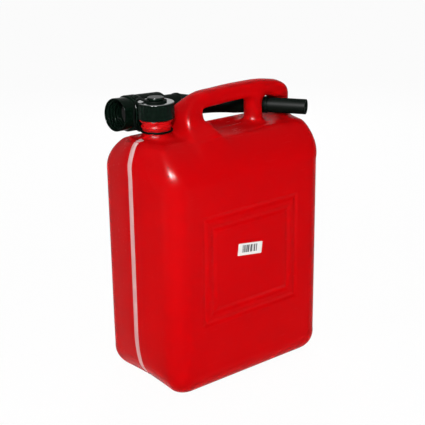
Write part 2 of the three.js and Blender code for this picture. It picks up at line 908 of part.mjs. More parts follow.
function priceSticker() {
  const paper = new THREE.BoxGeometry(stickerWidth, stickerThickness, stickerHeight);
  paper.rotateY(stickerTilt);
  paper.translate(stickerX, -bodyDepth / 2 - stickerThickness / 2, stickerZ);
  return meshOf("price_sticker", solidOf(paper), material(0xf2f2ee, 0.6));
}

const fuelCan = new THREE.Group();
fuelCan.add(tank(), levelStripe(), priceSticker());
fuelCan.add(cap(), capGasket(), capTether());
fuelCan.add(spoutTube(), spoutNozzle(), spoutNut(), spoutGasket());

export default fuelCan;
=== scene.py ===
import json
import math

import bpy
import numpy as np
from mathutils import Matrix, Vector


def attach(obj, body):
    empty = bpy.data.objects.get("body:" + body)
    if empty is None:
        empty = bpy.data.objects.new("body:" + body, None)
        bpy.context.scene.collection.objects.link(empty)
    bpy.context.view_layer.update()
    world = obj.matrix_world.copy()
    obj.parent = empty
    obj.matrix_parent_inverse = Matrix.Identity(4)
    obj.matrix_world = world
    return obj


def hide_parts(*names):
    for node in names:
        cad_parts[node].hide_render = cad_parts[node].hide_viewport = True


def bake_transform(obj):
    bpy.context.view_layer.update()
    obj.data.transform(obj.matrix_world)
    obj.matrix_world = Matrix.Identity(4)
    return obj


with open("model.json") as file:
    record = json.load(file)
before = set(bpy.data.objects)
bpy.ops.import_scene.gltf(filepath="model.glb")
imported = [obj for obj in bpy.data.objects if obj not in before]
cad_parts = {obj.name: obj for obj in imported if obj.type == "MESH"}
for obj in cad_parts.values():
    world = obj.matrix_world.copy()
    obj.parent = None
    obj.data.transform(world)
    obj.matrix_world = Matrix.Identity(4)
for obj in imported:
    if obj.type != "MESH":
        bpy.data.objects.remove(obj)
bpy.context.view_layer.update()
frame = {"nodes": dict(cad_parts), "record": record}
scene = bpy.context.scene
scene.view_settings.view_transform = "Standard"
mm = 0.001  # the shapes below are worked out in millimetres
print("frame loaded:", len(frame["nodes"]), "nodes")


class Wire:
    # one output socket; sums and products of wires add Math nodes
    def __init__(self, tree, socket):
        self.tree = tree
        self.socket = socket

    def feed(self, target):
        self.tree.links.new(self.socket, target)

    def maths(self, operation, first, second):
        node = self.tree.nodes.new("ShaderNodeMath")
        node.operation = operation
        for target, value in zip(node.inputs, (first, second)):
            if isinstance(value, Wire):
                value.feed(target)
            else:
                target.default_value = value
        return Wire(self.tree, node.outputs[0])

    def __add__(self, other):
        return self.maths("ADD", self, other)

    def __radd__(self, other):
        return self.maths("ADD", other, self)

    def __sub__(self, other):
        return self.maths("SUBTRACT", self, other)

    def __rsub__(self, other):
        return self.maths("SUBTRACT", other, self)

    def __mul__(self, other):
        return self.maths("MULTIPLY", self, other)

    def __rmul__(self, other):
        return self.maths("MULTIPLY", other, self)


class Finish:
    # a material or a world, its shader and the nodes that feed it
    def __init__(self, name, family=bpy.data.materials, shader="Principled BSDF"):
        self.data = family.new(name)
        self.data.use_nodes = True
        self.tree = self.data.node_tree
        self.shader = self.tree.nodes[shader]

    def node(self, kind, settings=None, sockets=None, out=0):
        node = self.tree.nodes.new(kind)
        for key, value in (settings or {}).items():
            setattr(node, key, value)
        for key, value in (sockets or {}).items():
            self.plug(node.inputs[key], value)
        return Wire(self.tree, node.outputs[out])

    def plug(self, target, value):
        if isinstance(value, Wire):
            value.feed(target)
        elif hasattr(target.default_value, "__len__") and len(value) < len(target.default_value):
            target.default_value = (*value, 1.0)
        else:
            target.default_value = value

    def set(self, **sockets):
        for key, value in sockets.items():
            name = {"colour": "Base Color", "specular": "Specular IOR Level"}.get(key, key.title())
            self.plug(self.shader.inputs[name], value)

    # the few patterns that most of the finishes share
    def place(self):
        return self.node("ShaderNodeTexCoord", out="Object")

    def noise(self, where, scale, detail=2.0, rough=0.5):
        sockets = {"Vector": where, "Scale": scale, "Detail": detail, "Roughness": rough}
        return self.node("ShaderNodeTexNoise", None, sockets, "Fac")

    def streaks(self, where, stretch):
        long = self.node("ShaderNodeMapping", None, {"Vector": where, "Scale": stretch})
        return self.noise(long, scale=1.0, detail=3.0, rough=0.6)

    def band(self, value, low, high):
        sockets = {"Value": value, "From Min": low, "From Max": high}
        return self.node("ShaderNodeMapRange", {"interpolation_type": "SMOOTHSTEP"}, sockets)

    def window(self, value, rise, fall):
        return self.band(value, *rise) * (1 - self.band(value, *fall))

    def blend(self, share, first, second):
        settings = {"data_type": "RGBA", "clamp_factor": True}
        sockets = {0: share, 6: first, 7: second}  # the factor and the two colours
        return self.node("ShaderNodeMix", settings, sockets, 2)

    def bump(self, height, distance, strength):
        sockets = {"Height": height, "Distance": distance, "Strength": strength}
        return self.node("ShaderNodeBump", None, sockets)

    def split(self, vector):
        first = self.node("ShaderNodeSeparateXYZ", None, {"Vector": vector})
        return [Wire(self.tree, socket) for socket in first.socket.node.outputs]

    def edges(self, low, high):
        ridge = self.node("ShaderNodeNewGeometry", out="Pointiness")
        return self.band(ridge, low, high)


# an object from points in millimetres and faces, on its body and in place of its nodes
def newPiece(name, shape, body, nodes, material, sharp=None):
    points, faces = shape
    mesh = bpy.data.meshes.new(name)
    mesh.from_pydata((np.asarray(points) * mm).tolist(), [], faces)
    mesh.validate()
    mesh.update()
    mesh.polygons.foreach_set("use_smooth", [True] * len(mesh.polygons))
    if sharp is not None:
        mesh.set_sharp_from_angle(angle=math.radians(sharp))
    mesh.materials.append(material)
    piece = bpy.data.objects.new(name, mesh)
    scene.collection.objects.link(piece)
    if body:
        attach(piece, body)
    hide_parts(*nodes)
    print("made", name, len(mesh.vertices), "points")
    return piece


# a profile of (x, y, corner radius) points with its corners rounded
def rounded(corners, closed=False, steps=4):
    sideShare = 0.49  # the most of a side that one corner takes
    line = []
    count = len(corners)
    for i, corner in enumerate(corners):
        here = np.array(corner[:2], float)
        radius = corner[2] if len(corner) > 2 else 0.0
        if radius == 0.0 or (not closed and i in (0, count - 1)):
            line.append(here)
            continue
        before = np.array(corners[i - 1][:2]) - here
        after = np.array(corners[(i + 1) % count][:2]) - here
        reach = min(np.linalg.norm(before), np.linalg.norm(after)) * sideShare
        before = before / np.linalg.norm(before)
        after = after / np.linalg.norm(after)
        half = math.acos(np.clip(before @ after, -1, 1)) / 2
        cut = min(radius / max(math.tan(half), 1e-6), reach)
        for share in np.linspace(0, 1, steps + 1):
            bend = (1 - share) ** 2 * cut * before + share**2 * cut * after
            line.append(here + bend)
    return line


# extra points so that no stretch of a profile is longer than step
def denser(line, step, closed=False):
    out = []
    ends = line[1:] + line[:1] if closed else line[1:]
    for a, b in zip(line, ends):
        count = max(1, math.ceil(np.linalg.norm(b - a) / step))
        out += [a + (b - a) * i / count for i in range(count)]
    return out if closed else out + [line[-1]]


# rings of a turned piece round +Z; shape(radius, angle, height) may change the radius
def turnedRings(line, segments, shape=None):
    angle = np.arange(segments) * 2 * math.pi / segments
    rings = []
    for radius, height in line:
        if radius < 1e-6:
            rings.append(np.array([[0.0, 0.0, height]]))
            continue
        r = np.full(segments, radius) if shape is None else shape(radius, angle, height)
        rings.append(np.stack([r * np.cos(angle), r * np.sin(angle), np.full(segments, height)], 1))
    return rings


# faces between rings of points, closed round with wrap or by end faces with capped
def skin(rings, wrap=False, capped=False, flip=False):
    starts = np.cumsum([0] + [len(ring) for ring in rings])
    faces = []
    pairs = [(i, i + 1) for i in range(len(rings) - 1)] + ([(len(rings) - 1, 0)] if wrap else [])
    for a, b in pairs:
        countA, countB = len(rings[a]), len(rings[b])
        count = max(countA, countB)
        if count == 1:
            continue
        for j in range(count):
            k = (j + 1) % count
            if countA == 1:
                faces.append((starts[a], starts[b] + k, starts[b] + j))
            elif countB == 1:
                faces.append((starts[a] + j, starts[a] + k, starts[b]))
            else:
                faces.append((starts[a] + j, starts[a] + k, starts[b] + k, starts[b] + j))
    if capped:
        faces.append(tuple(starts[0] + j for j in reversed(range(len(rings[0])))))
        faces.append(tuple(starts[-2] + j for j in range(len(rings[-1]))))
    if flip:
        faces = [face[::-1] for face in faces]
    return np.concatenate(rings), [tuple(int(i) for i in face) for face in faces]


def joinMeshes(*parts):
    points, faces = [], []
    for somePoints, someFaces in parts:
        start = sum(len(p) for p in points)
        points.append(np.asarray(somePoints))
        faces += [tuple(i + start for i in face) for face in someFaces]
    return np.concatenate(points), faces


# a smooth curve through points, steps to each span
def curveThrough(points, steps):
    p = np.asarray(points, float)
    p = np.vstack([2 * p[0] - p[1], p, 2 * p[-1] - p[-2]])
    share = np.arange(steps)[:, None] / steps
    out = []
    for i in range(1, len(p) - 2):
        gaps = [np.linalg.norm(p[i + j + 1] - p[i + j]) ** 0.5 for j in (-1, 0, 1)]
        mid = gaps[1] if gaps[1] > 1e-3 else 1.0
        first = gaps[0] if gaps[0] > 1e-3 else mid
        last = gaps[2] if gaps[2] > 1e-3 else mid
        rise = p[i + 1] - p[i]
        start = mid * ((p[i] - p[i - 1]) / first - (p[i + 1] - p[i - 1]) / (first + mid)) + rise
        stop = mid * ((p[i + 2] - p[i + 1]) / last - (p[i + 2] - p[i]) / (mid + last)) + rise
        cubic = start + stop - 2 * rise
        square = 3 * rise - 2 * start - stop
        out.append(p[i] + share * start + share**2 * square + share**3 * cubic)
    return np.vstack(out + [p[-2:-1]])


# joint places and directions in the frame
joints = {joint["name"]: joint for joint in frame["record"]["behaviour"]["joints"]}
neckX = joints["cap_turn"]["pos_m"][0] / mm
spoutRim = np.array(joints["spout_nut_turn"]["pos_m"]) / mm
spoutIn = np.array(joints["spout_nut_turn"]["axis"])
spoutOut = -np.array(joints["spout_withdraw"]["axis"])


# a shape made round +Z, set on the neck or on the spout's open end
def onNeck(shape):
    points, faces = shape
    return points + (neckX, 0, 0), faces


def onCollar(shape):
    points, faces = shape
    turn = Vector((0, 0, 1)).rotation_difference(Vector(spoutIn)).to_matrix()
    return points @ np.array(turn).T + spoutRim, faces


# camera at the photograph's place, solved from the can's own edges
cameraSet = {"place": (-0.7939, -0.98443, 0.63179), "yaw": 38.808, "pitch": 18.735, "roll": 0.772,
             "focal": 1024.49, "image": 425, "sensor": 36.0, "farClip": 30.0}  # focal and image in pixels


def makeCamera():
    s = cameraSet
    yaw, pitch, roll = (math.radians(s[key]) for key in ("yaw", "pitch", "roll"))
    ahead = Vector((math.sin(yaw) * math.cos(pitch), math.cos(yaw) * math.cos(pitch), -math.sin(pitch)))
    right = Vector((math.cos(yaw), -math.sin(yaw), 0))
    down = ahead.cross(right)
    across = math.cos(roll) * right + math.sin(roll) * down
    below = -math.sin(roll) * right + math.cos(roll) * down
    data = bpy.data.cameras.new("photoCamera")
    data.sensor_width = s["sensor"]
    data.lens = s["sensor"] * s["focal"] / s["image"]
    data.clip_end = s["farClip"]
    camera = bpy.data.objects.new("photoCamera", data)
    turn = Matrix((across, -below, -ahead)).transposed()
    camera.matrix_world = Matrix.Translation(s["place"]) @ turn.to_4x4()
    scene.collection.objects.link(camera)
    scene.camera = camera


makeCamera()

# studio: pale floor, white surroundings, a key lamp near the camera, two lamps for highlights, and fills
# a lamp has its place, size and power, and the kind of light that it gives
studio = {"floorHalf": 4.0, "floorDrop": 0.0004, "floorTone": 0.98, "floorRough": 0.9, "floorShown": 0.96,
          "ambient": 0.08, "aim": (0, 0, 0.2),
          "lamps": {"key": ((-0.93, -1.12, 0.95), 0.16, 18.6, "diffuse"),
                    "flash": ((-0.88, -1.03, 1.32), 0.10, 250.0, "glossy"),
                    "side": ((-1.32, -0.76, 1.29), 0.30, 800.0, "glossy"),
                    "lowFront": ((0.12, -0.60, 0.03), 0.30, 0.7, "diffuse"),
                    "lowLeft": ((-0.66, 0.10, 0.03), 0.30, 0.8, "diffuse"),
                    "top": ((0.1, -0.1, 1.5), 1.1, 4.5, "both"),
                    "left": ((-1.5, 0.2, 0.8), 0.9, 1.5, "both"),
                    "rear": ((0.95, 1.15, 0.80), 0.60, 9.0, "diffuse")}}


def seenDirectly(finish):
    rays = ("Is Camera Ray", "Is Glossy Ray", "Is Transmission Ray")
    camera, glossy, through = (finish.node("ShaderNodeLightPath", out=ray) for ray in rays)
    either = finish.node("ShaderNodeMath", {"operation": "MAXIMUM"}, {0: camera, 1: glossy})
    return finish.node("ShaderNodeMath", {"operation": "MAXIMUM"}, {0: either, 1: through})


def makeFloor():
    half = studio["floorHalf"]
    finish = Finish("studioFloor")
    tone = (studio["floorTone"],) * 3
    finish.set(colour=tone, roughness=studio["floorRough"], specular=0.0)
    lit = finish.node("ShaderNodeEmission", None, {"Color": (1, 1, 1), "Strength": 1.0})
    shader = Wire(finish.tree, finish.shader.outputs[0])
    share = seenDirectly(finish) * studio["floorShown"]
    mixed = finish.node("ShaderNodeMixShader", None, {0: share, 1: shader, 2: lit})
    mixed.feed(finish.tree.nodes["Material Output"].inputs["Surface"])
    mesh = bpy.data.meshes.new("studioFloor")
    corners = [(-half, -half, 0), (half, -half, 0), (half, half, 0), (-half, half, 0)]
    mesh.from_pydata(corners, [], [(0, 1, 2, 3)])
    mesh.materials.append(finish.data)
    floor = bpy.data.objects.new("studioFloor", mesh)
    floor.location.z = -studio["floorDrop"]
    scene.collection.objects.link(floor)


def makeWorld():
    ambient = studio["ambient"]
    sky = Finish("studioWorld", bpy.data.worlds, "Background")
    strength = seenDirectly(sky) * (1.0 - ambient) + ambient
    sky.set(color=(1, 1, 1), strength=strength)
    scene.world = sky.data


def makeLamps():
    for name, (place, size, power, seen) in studio["lamps"].items():
        lamp = bpy.data.lights.new(name + "Lamp", "AREA")
        lamp.size = size
        lamp.energy = power
        lampObject = bpy.data.objects.new(name + "Lamp", lamp)
        lampObject.location = place
        lampObject.visible_camera = False
        lampObject.visible_glossy = seen != "diffuse"
        lampObject.visible_diffuse = seen != "glossy"
        aim = Vector(studio["aim"]) - Vector(place)
        lampObject.rotation_euler = aim.to_track_quat("-Z", "Y").to_euler()
        scene.collection.objects.link(lampObject)


makeFloor()
makeWorld()
makeLamps()
print("studio ready")

# the blow-moulded tank, as a distance field in millimetres
tankShape = {
    "halfLength": 122.5, "halfDepth": 78.0,
    "corner": 26.2, "cornerTop": 5.0, "cornerBase": 16.0,  # radius of the upright corners
    "baseInset": 19.5, "baseRise": 30.0, "baseEdge": 1.5,
    "crownBase": -3.5, "crownFull": 6.5, "crownFoot": 10.0, "crownRise": 60.0,  # of the narrow faces
    "shoulderTop": 317.0, "sillRound": 5.0,
    # how the faces turn in at the shoulder: start height, inset, fullness
    "sides": (270.0, 39.5, 1.95), "front": (268.0, 14.5, 1.4), "rear": (290.0, 6.5, 3.1),
    "frontFill": 4.3, "frontFillRise": 28.0, "topCrown": 2.0,
    "saddleDish": 2.0, "saddleSag": 1.0, "saddleFrom": -34.0, "saddleTo": 112.0, "saddleEase": (30.0, 20.0),
    "groove": (4.0, 5.0, 1.5), "grooveEdge": 3.0,  # half width at its roof, depth, lean of its walls
    "seamProud": 0.45, "seamWidth": 0.9,
    "frame": (-2.4, 161.0, 148.8, 136.2), "frameSpacing": 13.6,  # middle along X and Z, width, height
    "frameGroove": (5.2, 1.5),  # half width, depth
    "neckFlare": 10.0, "neckRadius": 17.3, "neckTop": 328.4, "neckRoot": 25.0,
    "bore": 14.2, "boreFoot": 262.0,
    "post": (67.4, 11.0, 12.4, 7.0, 309.5, 332.0, 358.5),  # X, half sizes, flare, foot, waist, head
    "gusset": (107.0, 345.0, 9.0, 10.5, 8.0, 5.0),  # X, Z, half sizes, edge
    "hole": (94.0, 332.0, 12.2), "holeEdge": 1.0,  # X, Z, radius
    "fingerGap": (-24.0, 45.0, 316.2, 338.0, 11.0), "gapEdge": 2.0,  # front, back, foot, head, corner
    "legBlend": 14.0, "rearBlend": 8.0, "postBlend": 8.0, "blendSpan": (-10.0, 60.0),
    "gridX": (-134.3, 134.0), "gridY": (-83.2, 83.0), "gridZ": (-4.1, 374.0), "cell": 2.5, "fineCell": 0.8,
    "fineReach": 4.6, "seamReach": 1.6, "sillDrop": 1.0,
    "settled": 3, "leastSlope": 0.05, "evened": 3, "evenFrom": 240.0,
}
shoulderTop = tankShape["shoulderTop"]

# handle stations: along X, height, half size along the normal, half size across, squareness of the section
handleShape = {
    "steps": 10,
    "stations": [
        (-39.5, 293.0, 30.0, 58.0, 6.0), (-39.5, 317.0, 22.0, 44.0, 7.0), (-40.75, 326.0, 19.0, 33.0, 7.0),
        (-40.75, 337.0, 16.5, 22.5, 5.5), (-27.5, 353.0, 10.5, 12.5, 3.5), (5.9, 357.1, 10.5, 12.5, 3.0),
        (49.7, 358.5, 10.5, 12.5, 3.0), (86.0, 357.0, 10.5, 12.5, 3.0), (112.0, 350.0, 9.4, 11.5, 3.0),
        (117.0, 332.0, 6.5, 10.0, 3.0), (117.0, 293.0, 6.5, 10.0, 3.0),
    ],
}
handleRows = [[s[:2], s[2:4], (s[4], 0)] for s in handleShape["stations"]]
handleLine = np.hstack([curveThrough(row, handleShape["steps"]) for row in zip(*handleRows)])


def smoothMin(a, b, width):
    near = np.clip(1 - np.abs(a - b) / width, 0, 1)
    return np.minimum(a, b) - near**2 * width / 4


def smoothMax(a, b, width):
    return -smoothMin(-a, -b, width)


def ease(value, low, high):
    share = np.clip((value - low) / (high - low), 0, 1)
    return share * share * (3 - 2 * share)


# half length at a height, where an end turns in towards the shoulder's top
def endReach(z, start, inset, fullness):
    climb = np.clip((z - start) / (shoulderTop - start), 0, 1)
    return tankShape["halfLength"] - inset * (1 - (1 - climb**fullness) ** (1 / fullness))


# level distance to the tank's outline at each height
def outlineField(x, y, z):
    s = tankShape
    drawn = np.clip(1 - z / s["baseRise"], 0, 1)
    foot = s["baseInset"] * (1 - np.sqrt(1 - drawn**2))
    start, inset, curve = s["sides"]
    climb = np.clip((z - start) / (shoulderTop - start), 0, 1)
    halfY = s["halfDepth"] - foot - inset * climb**curve
    halfX = np.where(x < 0, endReach(z, *s["front"]), endReach(z, *s["rear"])) - foot
    radius = s["corner"] + (s["cornerTop"] - s["corner"]) * climb + (s["cornerBase"] - s["corner"]) * drawn
    rise = np.clip((z - s["crownFoot"]) / s["crownRise"], 0, 1)
    crown = s["crownBase"] + (s["crownFull"] - s["crownBase"]) * (1 - (1 - rise) ** 2)
    crown = crown + s["frontFill"] * (x < 0) * ease(z, s["front"][0], s["front"][0] + s["frontFillRise"])
    off = np.clip(np.abs(y) / halfY, 0, 1)
    alongX = np.abs(x) - (halfX + crown * (1 - off**2) ** 2 - radius)
    alongY = np.abs(y) - (halfY - radius)
    outside = np.hypot(np.maximum(alongX, 0), np.maximum(alongY, 0))
    return outside + np.minimum(np.maximum(alongX, alongY), 0) - radius


def bodyField(x, y, z):
    s = tankShape
    step = 0.5
    slope = (outlineField(x, y, z + step) - outlineField(x, y, z - step)) / (2 * step)
    side = outlineField(x, y, z) / np.sqrt(1 + slope**2)
    flat = np.clip(1 - (y / (s["halfDepth"] - s["sides"][1])) ** 2, 0, 1)
    easeFront, easeRear = s["saddleEase"]
    saddle = ease(x, s["saddleFrom"], s["saddleFrom"] + easeFront)
    saddle = saddle * ease(-x, -s["saddleTo"], easeRear - s["saddleTo"])
    crown = s["topCrown"] * (1 - saddle) - s["saddleDish"] * saddle
    top = z - shoulderTop - flat * crown + s["saddleSag"] * saddle
    body = smoothMax(side, top, s["sillRound"])
    halfRoof, depth, lean = s["groove"]
    wall = (np.abs(y) - halfRoof - (depth - z) * lean) / math.hypot(1, lean)
    groove = np.maximum(z - depth, wall)
    return smoothMax(smoothMax(body, -z, s["baseEdge"]), -groove, s["grooveEdge"])


# depth of the double frame grooves in the two wide faces
def frameDepth(x, z):
    s = tankShape
    midX, midZ, width, height = s["frame"]
    half, depth = s["frameGroove"]
    edge = np.maximum(np.abs(x - midX) - width / 2, np.abs(z - midZ) - height / 2)
    off = np.minimum(np.abs(edge), np.abs(edge + s["frameSpacing"]))
    return depth * ease(half - off, 0, half)


def handleField(x, y, z):
    line = handleLine
    start, step = line[:-1], np.diff(line, axis=0)
    px, pz = x[..., None] - start[:, 0], z[..., None] - start[:, 1]
    length = step[:, 0] ** 2 + step[:, 1] ** 2
    share = np.clip((px * step[:, 0] + pz * step[:, 1]) / length, 0, 1)
    away = (px - share * step[:, 0]) ** 2 + (pz - share * step[:, 1]) ** 2
    best = np.argmin(away, axis=-1)
    pick = np.take_along_axis(share, best[..., None], -1)[..., 0]
    off = np.sqrt(np.take_along_axis(away, best[..., None], -1)[..., 0])
    along = start[best, 2] + pick * step[best, 2]
    across = start[best, 3] + pick * step[best, 3]
    power = start[best, 4] + pick * step[best, 4]
    ratio = ((off / along) ** power + (np.abs(y) / across) ** power) ** (1 / power)
    reach = np.maximum(np.hypot(off, y), 1e-6)
    return reach - reach / np.maximum(ratio, 1e-6)


def postField(x, y, z):
    postX, radius, halfWidth, flare, foot, middle, head = tankShape["post"]
    away = np.where(z < middle, (z - middle) / (middle - foot), (z - middle) / (head - middle))
    wider = flare * np.clip(np.abs(away), 0, 1) ** 3
    side = np.hypot((x - postX) / (radius + wider), y / (halfWidth + wider * (z < middle))) - 1
    return np.maximum(np.maximum(side * radius, foot - z), z - head)


# round hole for the stowed spout
def spoutHole(x, y, z):
    holeX, holeZ, radius = tankShape["hole"]
    across = (x - holeX) * spoutOut[1] - y * spoutOut[0]
    return np.hypot(across, z - holeZ) - radius


# rounded block that closes over the hole at the heel
def gussetField(x, y, z):
    midX, midZ, halfX, halfY, halfZ, edge = tankShape["gusset"]
    offX = np.maximum(np.abs(x - midX) - halfX + edge, 0)
    offY = np.maximum(np.abs(y) - halfY + edge, 0)
    offZ = np.maximum(np.abs(z - midZ) - halfZ + edge, 0)
    return np.sqrt(offX**2 + offY**2 + offZ**2) - edge


# the finger gap's end at the front leg, rounded at its foot
def fingerGap(x, z):
    front, back, foot, head, corner = tankShape["fingerGap"]
    turn = np.hypot(np.maximum(front + corner - x, 0), np.maximum(foot + corner - z, 0)) - corner
    return np.maximum(turn, np.maximum(x - back, z - head))


# the tank's outside, with the neck closed
def outsideField(x, y, z):
    s = tankShape
    body = bodyField(x, y, z)
    body = body + frameDepth(x, z) * (np.abs(y) > s["halfDepth"] / 2)
    neck = np.maximum(np.hypot(x - neckX, y) - s["neckRadius"], z - s["neckTop"])
    neck = np.maximum(neck, shoulderTop - s["neckRoot"] - z)
    whole = smoothMin(body, neck, s["neckFlare"])
    handle = handleField(x, y, z)
    reach = s["legBlend"] + (s["rearBlend"] - s["legBlend"]) * ease(x, *s["blendSpan"])
    handle = smoothMin(handle, gussetField(x, y, z), s["rearBlend"])
    handle = smoothMin(handle, postField(x, y, z), s["postBlend"])
    handle = smoothMax(handle, -spoutHole(x, y, z), s["holeEdge"])
    whole = smoothMin(whole, handle, reach)
    whole = smoothMax(whole, -fingerGap(x, z), s["gapEdge"])
    return whole - s["seamProud"] * np.exp(-((y / s["seamWidth"]) ** 2))


def tankField(x, y, z):
    bore = np.maximum(np.hypot(x - neckX, y) - tankShape["bore"], tankShape["boreFoot"] - z)
    return np.maximum(outsideField(x, y, z), -bore)


# field and its slope at scattered points
def fieldSlope(points):
    step = 0.15
    value = tankField(*points.T)
    slope = np.empty_like(points)
    for axis in range(3):
        move = np.zeros(3)
        move[axis] = step
        slope[:, axis] = (tankField(*(points + move).T) - tankField(*(points - move).T)) / (2 * step)
    return value, slope


# grid lines along one axis, closer together round the places in fine
def gridLines(low, high, fine, reach):
    lines = [low]
    while lines[-1] < high:
        near = any(abs(lines[-1] + tankShape["fineCell"] - place) < reach for place in fine)
        lines.append(lines[-1] + tankShape["fineCell" if near else "cell"])
    return np.array(lines)


# one point in each grid cell that the surface passes, joined into quads
def surfaceNet(field, x, y, z):
    slab = 8  # grid planes worked out at a time
    value = np.concatenate([field(x[i:i + slab, None, None], y[None, :, None], z[None, None, :])
                            for i in range(0, len(x), slab)])
    inside = value < 0
    size = np.array(value.shape) - 1
    corners = [(i, j, k) for i in (0, 1) for j in (0, 1) for k in (0, 1)]
    count = sum(inside[i:i + size[0], j:j + size[1], k:k + size[2]].astype(int) for i, j, k in corners)
    cells = np.argwhere((count > 0) & (count < 8))
    number = np.full(size, -1)
    number[tuple(cells.T)] = np.arange(len(cells))
    total, hits = np.zeros((len(cells), 3)), np.zeros((len(cells), 1))
    axes = (x, y, z)
    for a in corners:
        for axis in range(3):
            if a[axis]:
                continue
            b = tuple(1 if i == axis else a[i] for i in range(3))
            ia, ib = cells + a, cells + b
            va, vb = value[tuple(ia.T)], value[tuple(ib.T)]
            cross = (va < 0) != (vb < 0)
            share = np.where(cross, va / np.where(cross, va - vb, 1), 0)[:, None]
            pa = np.stack([axes[i][ia[:, i]] for i in range(3)], 1)
            pb = np.stack([axes[i][ib[:, i]] for i in range(3)], 1)
            total += np.where(cross[:, None], pa + share * (pb - pa), 0)
            hits += cross[:, None]
    quads = []
    for axis in range(3):
        u, v = (axis + 1) % 3, (axis + 2) % 3
        low = [slice(None)] * 3
        high = [slice(None)] * 3
        low[axis], high[axis] = slice(None, -1), slice(1, None)
        flips = np.argwhere(inside[tuple(low)] != inside[tuple(high)])
        within = [(flips[:, side] > 0) & (flips[:, side] < size[side]) for side in (u, v)]
        flips = flips[within[0] & within[1]]
        around = []
        for du, dv in ((1, 1), (0, 1), (0, 0), (1, 0)):
            cell = flips.copy()
            cell[:, u] -= du
            cell[:, v] -= dv
            around.append(number[tuple(cell.T)])
        quad = np.stack(around, 1)
        out = inside[tuple(flips.T)]
        quads.append(np.where(out[:, None], quad, quad[:, ::-1]))
    return total / hits, np.concatenate(quads)


# scales and bands of the patterns, tones with their shares, and the part each pattern has in the roughness
redFinish = {
    "drift": 11.0, "peel": 260.0, "grain": 1500.0, "stretch": (30, 260, 200), "scuffs": (0.62, 0.72),
    "ridges": (0.53, 0.6), "deep": (0.53, 0.0008, 0.0020), "bright": (0.58, 0.0014, 0.0028),
    "ridgeTone": (0.66, 0.025, 0.025), "ridgeShare": 0.25,
    "scuffTone": (0.66, 0.08, 0.08), "scuffShare": 0.008,
    "rough": 0.26, "driftRough": 0.02, "scuffRough": 0.01, "peelShare": 0.6, "grainShare": 0.4,
    "bump": (0.0001, 0.05), "tankSpecular": 0.015, "neckSpecular": 0.06,
}


def redPolyethylene(name, specular):
    s = redFinish
    finish = Finish(name)
    where = finish.place()
    drift = finish.noise(where, s["drift"], detail=3.0)
    peel = finish.noise(where, s["peel"])
    grain = finish.noise(where, s["grain"])
    scuff = finish.band(finish.streaks(where, s["stretch"]), *s["scuffs"])
    ridge = finish.edges(*s["ridges"])
    red = finish.blend(drift, s["deep"], s["bright"])
    red = finish.blend(ridge * s["ridgeShare"], red, s["ridgeTone"])
    red = finish.blend(scuff * s["scuffShare"], red, s["scuffTone"])
    rough = s["rough"] + drift * s["driftRough"] + scuff * s["scuffRough"]
    relief = peel * s["peelShare"] + grain * s["grainShare"]
    finish.set(colour=red, roughness=rough, specular=specular)
    finish.set(normal=finish.bump(relief, *s["bump"]))
    return finish.data


# each normal averaged with those at the corners of the faces round it
def evened(normals, quads):
    total = normals.copy()
    middle = normals[quads].sum(1)
    for corner in range(4):
        np.add.at(total, quads[:, corner], middle)
    return total / np.linalg.norm(total, axis=1)[:, None]


# places of the frame's double lines along one axis
def frameLines(middle, size):
    insets = (0, tankShape["frameSpacing"])
    return [middle + side * (size / 2 - inset) for inset in insets for side in (-1, 1)]


def makeTank(material):
    s = tankShape
    midX, midZ, width, height = s["frame"]
    fineZ = [*frameLines(midZ, height), shoulderTop - s["sillDrop"]]
    x = gridLines(*s["gridX"], frameLines(midX, width), s["fineReach"])
    y = gridLines(*s["gridY"], [0.0], s["seamReach"])
    z = gridLines(*s["gridZ"], fineZ, s["fineReach"])
    points, quads = surfaceNet(tankField, x, y, z)
    for _ in range(s["settled"]):
        value, slope = fieldSlope(points)
        step = value / np.maximum((slope**2).sum(1), s["leastSlope"])
        points -= slope * np.clip(step, -1, 1)[:, None]
    slope = fieldSlope(points)[1]
    normals = slope / np.linalg.norm(slope, axis=1)[:, None]
    upper = points[:, 2:] > s["evenFrom"]
    for _ in range(s["evened"]):
        normals = np.where(upper, evened(normals, quads), normals)
    piece = newPiece("tankSkin", (points, quads.tolist()), "tank", ["tank"], material)
    piece.data.normals_split_custom_set_from_vertices(normals.tolist())


makeTank(redPolyethylene("redPolyethylene", redFinish["tankSpecular"]))

# threaded neck above the tether ring
neckShape = {"foot": 325.0, "bore": tankShape["bore"], "barrel": 17.4, "root": 17.2, "rim": 358.8,
             "bead": (339.3, 342.7, 20.1), "beadSlope": 0.6,  # from, to, radius
             "lowBead": (332.2, 335.2, 18.9), "lowSlope": 0.8,
             "thread": (345.8, 2.2), "segments": 120, "step": 4.0}  # thread: foot, turns
threadShape = {"pitch": 5.0, "rootWidth": 2.3, "crestWidth": 1.1, "crestRound": 0.3, "fade": 0.15,
               "least": 0.02, "proud": 1.7, "sunk": 0.3, "steps": 72}


# a helical ridge on a turned face, outward or (side -1) inward, thinned out at both ends
def threadMesh(root, foot, turns, side=1):
    t = threadShape
    halfRoot, halfCrest, edge = t["rootWidth"] / 2, t["crestWidth"] / 2, t["crestRound"]
    rings = []
    for at in np.linspace(0, turns, math.ceil(turns * t["steps"]) + 1):
        full = max(min(1.0, at / t["fade"], (turns - at) / t["fade"]), t["least"])
        tip = root + side * t["proud"] * full
        low = root - side * t["sunk"]
        rise = foot + at * t["pitch"]
        spots = [(low, halfRoot, 0), (tip, halfCrest, edge), (tip, -halfCrest, edge), (low, -halfRoot, 0)]
        angle = 2 * math.pi * at
        rings.append(np.array([(r * math.cos(angle), r * math.sin(angle), rise + up)
                               for r, up in rounded(spots, True, 3)]))
    return skin(rings, capped=True, flip=side < 0)


